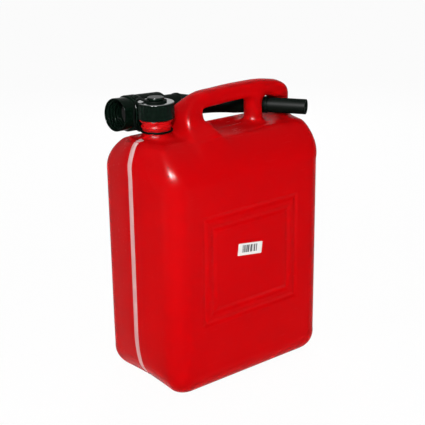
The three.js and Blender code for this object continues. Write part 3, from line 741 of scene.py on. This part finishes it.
def makeNeck(material):
    s = neckShape
    low, high, bead = s["bead"]
    ringLow, ringHigh, ring = s["lowBead"]
    slope, lowSlope = s["beadSlope"], s["lowSlope"]
    corners = [(s["bore"], s["foot"]), (s["barrel"], s["foot"]), (s["barrel"], ringLow, 0.6),
               (ring, ringLow + lowSlope, 0.8), (ring, ringHigh - lowSlope, 0.8),
               (s["barrel"], ringHigh, 0.6), (s["barrel"], low, 0.6),
               (bead, low + slope, 0.7), (bead, high - slope, 0.7),
               (s["root"], high, 0.5), (s["root"], s["rim"], 0.8), (s["bore"], s["rim"], 0.8)]
    line = denser(rounded(corners, True), s["step"], True)
    barrel = skin(turnedRings(line, s["segments"]), wrap=True)
    neck = onNeck(joinMeshes(barrel, threadMesh(s["root"], *s["thread"])))
    newPiece("threadedNeck", neck, "tank", ["tank"], material, sharp=40)


makeNeck(redPolyethylene("neckPolyethylene", redFinish["neckSpecular"]))

# see-through level stripe down the front narrow face
stripeShape = {"half": 5.0, "foot": 12.0, "bend": 262.0, "centre": -70.0, "lastAngle": 55.5,
               "proud": 0.35, "sunk": 0.3, "deep": 1.4, "rows": 90, "arcRows": 26, "columns": 9,
               "farthest": 90.0, "halvings": 40}
milkyFinish = {"drift": 35.0, "grain": 900.0, "deep": (0.60, 0.27, 0.26), "pale": (0.66, 0.36, 0.34),
               "rough": 0.42, "grainRough": 0.1, "specular": 0.3, "bump": (0.0002, 0.15)}


# where rays from inside leave the tank
def hitSurface(origin, direction):
    near, far = np.zeros(len(origin)), np.full(len(origin), stripeShape["farthest"])
    for _ in range(stripeShape["halvings"]):
        middle = (near + far) / 2
        inside = outsideField(*(origin + direction * middle[:, None]).T) < 0
        near, far = np.where(inside, middle, near), np.where(inside, far, middle)
    return origin + direction * near[:, None]


def milkyPolyethylene():
    s = milkyFinish
    finish = Finish("milkyPolyethylene")
    where = finish.place()
    drift = finish.noise(where, s["drift"], detail=3.0)
    grain = finish.noise(where, s["grain"])
    pale = finish.blend(drift, s["deep"], s["pale"])
    finish.set(colour=pale, roughness=s["rough"] + grain * s["grainRough"], specular=s["specular"])
    finish.set(normal=finish.bump(grain, *s["bump"]))
    return finish.data


def makeStripe(material):
    s = stripeShape
    across = np.linspace(-s["half"], s["half"], s["columns"])
    heights = np.linspace(s["foot"], s["bend"], s["rows"])
    angles = np.radians(np.linspace(0, s["lastAngle"], s["arcRows"])[1:])
    starts = [(h, 0.0) for h in heights] + [(s["bend"], a) for a in angles]
    origin = np.array([(s["centre"], y, h) for h, a in starts for y in across])
    direction = np.array([(-math.cos(a), 0, math.sin(a)) for h, a in starts for y in across])
    hit = hitSurface(origin, direction)
    slope = fieldSlope(hit)[1]
    normal = slope / np.linalg.norm(slope, axis=1)[:, None]
    crown = 1 - (np.tile(across, len(starts)) / s["half"]) ** 2
    lift = -s["sunk"] + (s["sunk"] + s["proud"]) * np.sqrt(np.clip(crown, 0, 1))
    outer = (hit + normal * lift[:, None]).reshape(len(starts), s["columns"], 3)
    inner = (hit - normal * s["deep"]).reshape(len(starts), s["columns"], 3)[:, ::-1]
    rings = list(np.concatenate([outer, inner], 1))
    stripe = skin(rings, capped=True, flip=True)
    newPiece("levelStripe", stripe, "tank", ["level_stripe"], material, sharp=50)


makeStripe(milkyPolyethylene())

# paper sticker with plain bars
stickerShape = {"width": 39.5, "height": 15.5, "thick": 0.35, "corner": 1.2, "place": (-5.3, -78.05, 176.5),
                "tilt": 7.7, "levels": [(0.0, 0.0), (0.7, 0.0), (1.0, 0.25)],  # share of depth, inset
                "step": 2.0, "barsAcross": (-14.5, 11.0), "barsUp": (-4.2, 5.4), "barEdge": 0.2}
paperFinish = {"fibre": 900.0, "bars": 620.0, "barBand": (0.45, 0.49), "ink": (0.035, 0.035, 0.04),
               "shade": (0.78, 0.78, 0.74), "white": (0.86, 0.86, 0.82), "rough": 0.55, "fibreRough": 0.15,
               "specular": 0.3, "bump": (0.0001, 0.2)}


def stickerPaper():
    s = paperFinish
    finish = Finish("stickerPaper")
    where = finish.place()
    across, _, up = finish.split(where)
    fibre = finish.noise(where, s["fibre"], detail=4.0)
    sockets = {"W": across, "Scale": s["bars"], "Detail": 1.0}
    bars = finish.node("ShaderNodeTexNoise", {"noise_dimensions": "1D"}, sockets)
    bars = finish.band(bars, *s["barBand"])
    for value, span in ((across, "barsAcross"), (up, "barsUp")):
        ends = [(end * mm, (end + stickerShape["barEdge"]) * mm) for end in stickerShape[span]]
        bars = bars * finish.window(value, *ends)
    paper = finish.blend(fibre, s["shade"], s["white"])
    printed = finish.blend(bars, paper, s["ink"])
    finish.set(colour=printed, roughness=s["rough"] + fibre * s["fibreRough"], specular=s["specular"])
    finish.set(normal=finish.bump(fibre, *s["bump"]))
    return finish.data


def makeSticker(material):
    s = stickerShape
    x, z, r = s["width"] / 2, s["height"] / 2, s["corner"]
    outline = rounded([(-x, -z, r), (x, -z, r), (x, z, r), (-x, z, r)], True, 5)
    outline = denser(outline, s["step"], True)
    rings = [np.array([[p[0] - np.sign(p[0]) * inset, -depth * s["thick"], p[1] - np.sign(p[1]) * inset]
                       for p in outline]) for depth, inset in s["levels"]]
    paper = skin(rings, capped=True)
    piece = newPiece("priceSticker", paper, None, ["price_sticker"], material, sharp=40)
    place = Vector(s["place"]) * mm
    piece.matrix_world = Matrix.Translation(place) @ Matrix.Rotation(math.radians(s["tilt"]), 4, "Y")
    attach(piece, "tank")


makeSticker(stickerPaper())

# black mouldings: what all share, then tone, roughness and specular of each
blackFinish = {"drift": 45.0, "grain": 1100.0, "stretch": (80, 500, 400), "scuffs": (0.60, 0.72),
               "ridges": (0.54, 0.64), "deepShare": 0.75, "bump": (0.0001, 0.06),
               "ridgeTone": (0.022, 0.028, 0.025), "ridgeShare": 0.2,
               "scuffTone": (0.030, 0.036, 0.032), "scuffShare": 0.1, "scuffRough": 0.1,
               "coat": 0.7, "coatDrift": 0.3, "coatIor": 2.0, "coatRough": 0.12,
               "polished": ((362.65, 363.1), (363.6, 363.9)),  # heights where the cap's shine rises and ends
               "cap": ((0.0026, 0.0085, 0.0050), (0.14, 0.20), 0.03),
               "nut": ((0.0024, 0.0078, 0.0046), (0.11, 0.16), 0.02),
               "spout": ((0.0034, 0.0066, 0.0046), (0.44, 0.54), 0.008),
               "strap": ((0.0016, 0.0036, 0.0024), (0.44, 0.54), 0.006)}
rubberFinish = {"grain": 1300.0, "deep": (0.006, 0.006, 0.006), "bright": (0.012, 0.012, 0.011),
                "rough": 0.75, "grainRough": 0.15, "specular": 0.02, "bump": (0.0002, 0.3)}


def blackMould(piece, polished=False):
    s = blackFinish
    tone, (low, high), specular = s[piece]
    finish = Finish(piece + "Black")
    where = finish.place()
    drift = finish.noise(where, s["drift"], detail=3.0)
    grain = finish.noise(where, s["grain"])
    scuff = finish.band(finish.streaks(where, s["stretch"]), *s["scuffs"])
    ridge = finish.edges(*s["ridges"])
    deep = tuple(s["deepShare"] * part for part in tone)
    black = finish.blend(drift, deep, tone)
    black = finish.blend(ridge * s["ridgeShare"], black, s["ridgeTone"])
    black = finish.blend(scuff * s["scuffShare"], black, s["scuffTone"])
    rough = low + (high - low) * drift + scuff * s["scuffRough"]
    finish.set(colour=black, roughness=rough, specular=specular)
    finish.set(normal=finish.bump(grain, *s["bump"]))
    if polished:
        height = finish.split(where)[2]
        ring = finish.window(height, *[(low * mm, high * mm) for low, high in s["polished"]])
        finish.plug(finish.shader.inputs["Coat Weight"], ring * (s["coat"] + s["coatDrift"] * drift))
        finish.plug(finish.shader.inputs["Coat IOR"], s["coatIor"])
        finish.plug(finish.shader.inputs["Coat Roughness"], s["coatRough"])
    return finish.data


def gasketRubber():
    s = rubberFinish
    finish = Finish("gasketRubber")
    where = finish.place()
    grain = finish.noise(where, s["grain"], detail=3.0)
    dark = finish.blend(grain, s["deep"], s["bright"])
    finish.set(colour=dark, roughness=s["rough"] + grain * s["grainRough"], specular=s["specular"])
    finish.set(normal=finish.bump(grain, *s["bump"]))
    return finish.data


capBlack = blackMould("cap", polished=True)
nutBlack = blackMould("nut")
spoutBlack = blackMould("spout")
strapBlack = blackMould("strap")
rubber = gasketRubber()

# screw cap with ribbed skirt and knob
capShape = {"ceiling": 361.0, "bore": 19.4, "foot": 343.4, "radius": 22.6, "flangeTop": 349.4,
            "flangeStep": 0.05, "skirt": 22.4, "top": 363.4,
            "stem": (8.6, 365.8), "knob": (10.25, 369.0), "knobUnder": 0.4,  # radius, top
            "ribs": 20, "ribDepth": 0.6, "ribEnds": (0.6, 1.7), "ribRise": 4.5, "ribFall": (0.4, 0.8),
            "ribReach": 1.5, "thread": (348.3, 1.2), "segments": 240, "step": 0.5}


def makeCap():
    s = capShape
    stem, stemTop = s["stem"]
    knob, head = s["knob"]
    corners = [(0, s["ceiling"]), (s["bore"], s["ceiling"], 0.5), (s["bore"], s["foot"], 0.4),
               (s["radius"], s["foot"], 0.3), (s["radius"], s["flangeTop"]),
               (s["skirt"], s["flangeTop"] + s["flangeStep"]), (s["skirt"], s["top"], 1.8),
               (stem, s["top"], 0.5), (stem, stemTop, 0.4), (knob, stemTop + s["knobUnder"], 0.5),
               (knob, head, 2.2), (0, head)]
    line = denser(rounded(corners, steps=6), s["step"])
    ribFoot, ribHead = s["flangeTop"] + s["ribEnds"][0], s["top"] - s["ribEnds"][1]
    over, under = s["ribFall"]

    # ribs between shallow hollows, fading out at the foot and the head of the skirt
    def shape(radius, angle, height):
        if radius < s["skirt"] - s["ribReach"] or height < ribFoot:
            return radius + 0 * angle
        wave = 0.5 - 0.5 * np.cos(angle * s["ribs"])
        fade = ease(height, ribFoot, ribFoot + s["ribRise"])
        fade = fade * ease(-height, -ribHead - over, under - ribHead)
        return radius - s["ribDepth"] * fade * wave**2

    shell = skin(turnedRings(line, s["segments"], shape))
    cap = onNeck(joinMeshes(shell, threadMesh(s["bore"], *s["thread"], side=-1)))
    newPiece("screwCap", cap, "cap", ["cap"], capBlack, sharp=40)


makeCap()

# gaskets: a disc in the cap by radius, foot and thickness, and a ring in the spout's nut, bore first
gasketShape = {"cap": (17.2, 359.1, 1.6), "spout": (13.0, 18.9, 26.4, 1.6), "edge": 0.4, "boreEdge": 0.3,
               "segments": 72, "step": 2.0}


def washerMesh(inner, outer, foot, thick, innerEdge, outerEdge, segments):
    head = foot + thick
    corners = [(inner, foot, innerEdge), (outer, foot, outerEdge),
               (outer, head, outerEdge), (inner, head, innerEdge)]
    return skin(turnedRings(rounded(corners, True), segments), wrap=True)


def makeCapGasket():
    s = gasketShape
    radius, foot, thick = s["cap"]
    corners = [(0, foot), (radius, foot, s["edge"]), (radius, foot + thick, s["edge"]), (0, foot + thick)]
    disc = onNeck(skin(turnedRings(denser(rounded(corners), s["step"]), s["segments"])))
    newPiece("capGasket", disc, "cap_seal", ["cap_gasket"], rubber, sharp=40)


makeCapGasket()

# tether: ring round the neck, strap, and eye on the knob's stem
tetherShape = {"ring": (17.7, 20.1, 327.3, 2.2), "ringEdge": 0.6,  # bore, radius, foot, thickness
               "eye": (8.9, 13.5, 363.7, 1.6), "eyeEdge": 0.5,
               "heading": 141.0, "width": 9.0, "thick": 1.6, "edge": 0.5, "reach": 25.2, "bend": 4.0,
               "arch": 2.4, "lap": 1.0, "steps": 14, "segments": 120}


def makeTether():
    s = tetherShape
    half, width, edge = s["thick"] / 2, s["width"] / 2, s["edge"]
    ringIn, ringOut, ringZ, ringHigh = s["ring"]
    _, eyeOut, eyeZ, _ = s["eye"]
    route = [((ringIn + ringOut) / 2, ringZ + half), (s["reach"] - s["bend"], ringZ + half),
             (s["reach"], ringZ + half + s["bend"]), (s["reach"], capShape["top"] - s["bend"]),
             (s["reach"] - s["bend"], eyeZ + half + s["arch"]), (eyeOut - s["lap"], eyeZ + half)]
    line = curveThrough(route, s["steps"])
    along = np.gradient(line, axis=0)
    along = along / np.linalg.norm(along, axis=1)[:, None]
    corners = [(-half, -width, edge), (half, -width, edge), (half, width, edge), (-half, width, edge)]
    section = rounded(corners, True)
    rings = []
    for (out, up), (dOut, dUp) in zip(line, along):
        rings.append(np.array([(out - dUp * a, b, up + dOut * a) for a, b in section]))
    strap, strapFaces = skin(rings, capped=True, flip=True)
    turn = math.radians(s["heading"])
    spin = np.array([(math.cos(turn), math.sin(turn), 0), (-math.sin(turn), math.cos(turn), 0), (0, 0, 1)])
    ring = washerMesh(*s["ring"], s["ringEdge"], s["ringEdge"], s["segments"])
    eye = washerMesh(*s["eye"], s["eyeEdge"], s["eyeEdge"], s["segments"])
    tether = onNeck(joinMeshes((strap @ spin, strapFaces), ring, eye))
    piece = newPiece("capTether", tether, None, ["cap_tether"], strapBlack, sharp=40)
    foot = (neckX * mm, 0, (ringZ + ringHigh) * mm)
    head = (neckX * mm, 0, eyeZ * mm)
    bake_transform(piece)


makeTether()

# spout: profiles are (length from the open rim, radius)
spoutShape = {"corner": 172.0, "elbow": 45.0, "throat": 16.2,
              "flange": (28.3, 31.7, 19.1), "barrel": (36.3, 73.0, 22.0),  # from, to, radius
              "step": (105.0, 17.0), "stepRing": (4.0, 18.0), "cone": (125.0, 13.6),
              "tube": 11.0, "taperEnd": 18.0, "wall": 1.8, "inlet": 13.0, "gap": 0.3,
              "socket": (14.0, 9.3), "socketFloor": 0.4,
              "nozzle": (9.9, 7.3, 51.5), "insert": 9.0,  # radius, bore, length
              "draft": 0.1, "slope": 0.6, "segments": 96, "tubeStep": 3.0, "nozzleStep": 4.0}
spoutTurn = math.acos(np.clip(spoutIn @ spoutOut, -1, 1))
spoutTangent = spoutShape["elbow"] * math.tan(spoutTurn / 2)
elbowStart = spoutShape["corner"] - spoutTangent
elbowEnd = elbowStart + spoutShape["elbow"] * spoutTurn
spoutSide = np.cross(spoutIn, spoutOut) / np.linalg.norm(np.cross(spoutIn, spoutOut))
# the outlet's straight passes the middle plane at the hole in the handle
spoutCorner = spoutRim + spoutIn * spoutShape["corner"]
holeReach = -spoutCorner[1] / spoutOut[1]
socketEnd = elbowEnd + holeReach - spoutTangent


# place and frame on the spout's centre line at a length from its rim
def onSpout(length):
    toCentre = np.cross(spoutSide, spoutIn)
    angle = min(max((length - elbowStart) / spoutShape["elbow"], 0), spoutTurn)
    along = math.cos(angle) * spoutIn + math.sin(angle) * toCentre
    inward = math.cos(angle) * toCentre - math.sin(angle) * spoutIn
    centre = spoutRim + spoutIn * elbowStart + toCentre * spoutShape["elbow"]
    place = centre - inward * spoutShape["elbow"]
    place = place + along * (min(0, length - elbowStart) + max(0, length - elbowEnd))
    return place, along, inward


# a turned skin along the spout's bent centre line
def alongSpout(outline, step):
    segments = spoutShape["segments"]
    angle = np.arange(segments)[:, None] * 2 * math.pi / segments
    rings = []
    for length, radius in denser(rounded(outline, True), step, True):
        place, along, inward = onSpout(length)
        rings.append(place + radius * (np.cos(angle) * inward + np.sin(angle) * np.cross(along, inward)))
    return skin(rings, wrap=True)


def makeSpoutTube():
    s = spoutShape
    flangeFrom, flangeTo, flange = s["flange"]
    barrelFrom, barrelTo, barrel = s["barrel"]
    stepTo, step = s["step"]
    ringWidth, ring = s["stepRing"]
    coneTo, elbow = s["cone"]
    socketDeep, socket = s["socket"]
    elbowBore = elbow - s["wall"]
    draft, slope = s["draft"], s["slope"]
    ringFrom = stepTo - ringWidth
    outer = [(flangeFrom, flange, 0.4), (flangeTo, flange, 0.4), (flangeTo + draft, s["throat"], 0.2),
             (barrelFrom, s["throat"], 0.2), (barrelFrom + draft, barrel, 0.8), (barrelTo, barrel, 2.6),
             (barrelTo + slope, step, 1.4), (ringFrom, step, 0.5), (ringFrom + slope, ring, 0.6),
             (stepTo - slope, ring, 0.6), (stepTo, step, 0.8), (coneTo, elbow, 12.0), (elbowStart, elbow),
             (elbowEnd, elbow), (socketEnd - s["taperEnd"], s["tube"], 6.0), (socketEnd, s["tube"], 0.7)]
    inner = [(socketEnd, socket, 0.3), (socketEnd - socketDeep - s["gap"], socket),
             (socketEnd - socketDeep - s["socketFloor"], s["nozzle"][1]),
             (elbowEnd, elbowBore), (elbowStart, elbowBore), (coneTo, elbowBore),
             (stepTo, s["inlet"]), (flangeFrom, s["inlet"], 0.3)]
    tube = alongSpout(outer + inner, s["tubeStep"])
    newPiece("spoutTube", tube, "spout", ["spout_tube"], spoutBlack, sharp=35)


def makeNozzle():
    s = spoutShape
    radius, bore, length = s["nozzle"]
    start = socketEnd - s["socket"][0]
    shoulder = socketEnd + s["gap"]
    end = socketEnd + length
    outline = [(start, s["insert"], 0.4), (shoulder, s["insert"]), (shoulder + s["draft"], radius, 0.5),
               (end, radius, 0.7), (end, bore, 0.5), (start, bore, 0.3)]
    nozzle = alongSpout(outline, s["nozzleStep"])
    newPiece("spoutNozzle", nozzle, "spout", ["spout_nozzle"], spoutBlack, sharp=35)


# union nut on the spout's inlet: plain lip, ringed grip, thread inside
nutShape = {"bore": 19.4, "lip": (17.0, 20.5), "lipSlope": 0.4, "grip": 22.5, "rings": 4, "pitch": 4.0,
            "ringDepth": 1.1, "ringShares": (0.16, 0.26, 0.70, 0.80), "ringEdge": 0.7, "length": 36.0,
            "backWall": 4.0, "back": 16.5, "thread": (3.4, 4.2), "segments": 144, "step": 4.0}


def makeNut():
    s = nutShape
    lipLength, lip = s["lip"]
    dip = s["grip"] - s["ringDepth"]
    seat = s["length"] - s["backWall"]
    corners = [(s["bore"], 0, 0.6), (lip, 0, 0.9), (lip, lipLength, 0.3),
               (dip, lipLength + s["lipSlope"], 0.3)]
    for i in range(s["rings"]):
        for share, radius in zip(s["ringShares"], (dip, s["grip"], s["grip"], dip)):
            corners.append((radius, lipLength + (i + share) * s["pitch"], s["ringEdge"]))
    corners += [(dip, s["length"], 0.6), (s["back"], s["length"], 0.3), (s["back"], seat, 0.3),
                (s["bore"], seat, 0.4)]
    line = denser(rounded(corners, True), s["step"], True)
    shell = skin(turnedRings(line, s["segments"]), wrap=True)
    nut = onCollar(joinMeshes(shell, threadMesh(s["bore"], *s["thread"], side=-1)))
    newPiece("spoutNut", nut, "spout_nut", ["spout_nut"], nutBlack, sharp=40)


def makeSpoutGasket():
    s = gasketShape
    ring = onCollar(washerMesh(*s["spout"], s["boreEdge"], s["edge"], s["segments"]))
    newPiece("spoutGasket", ring, "spout", ["spout_gasket"], rubber, sharp=40)


makeSpoutTube()
makeNozzle()
makeNut()
makeSpoutGasket()
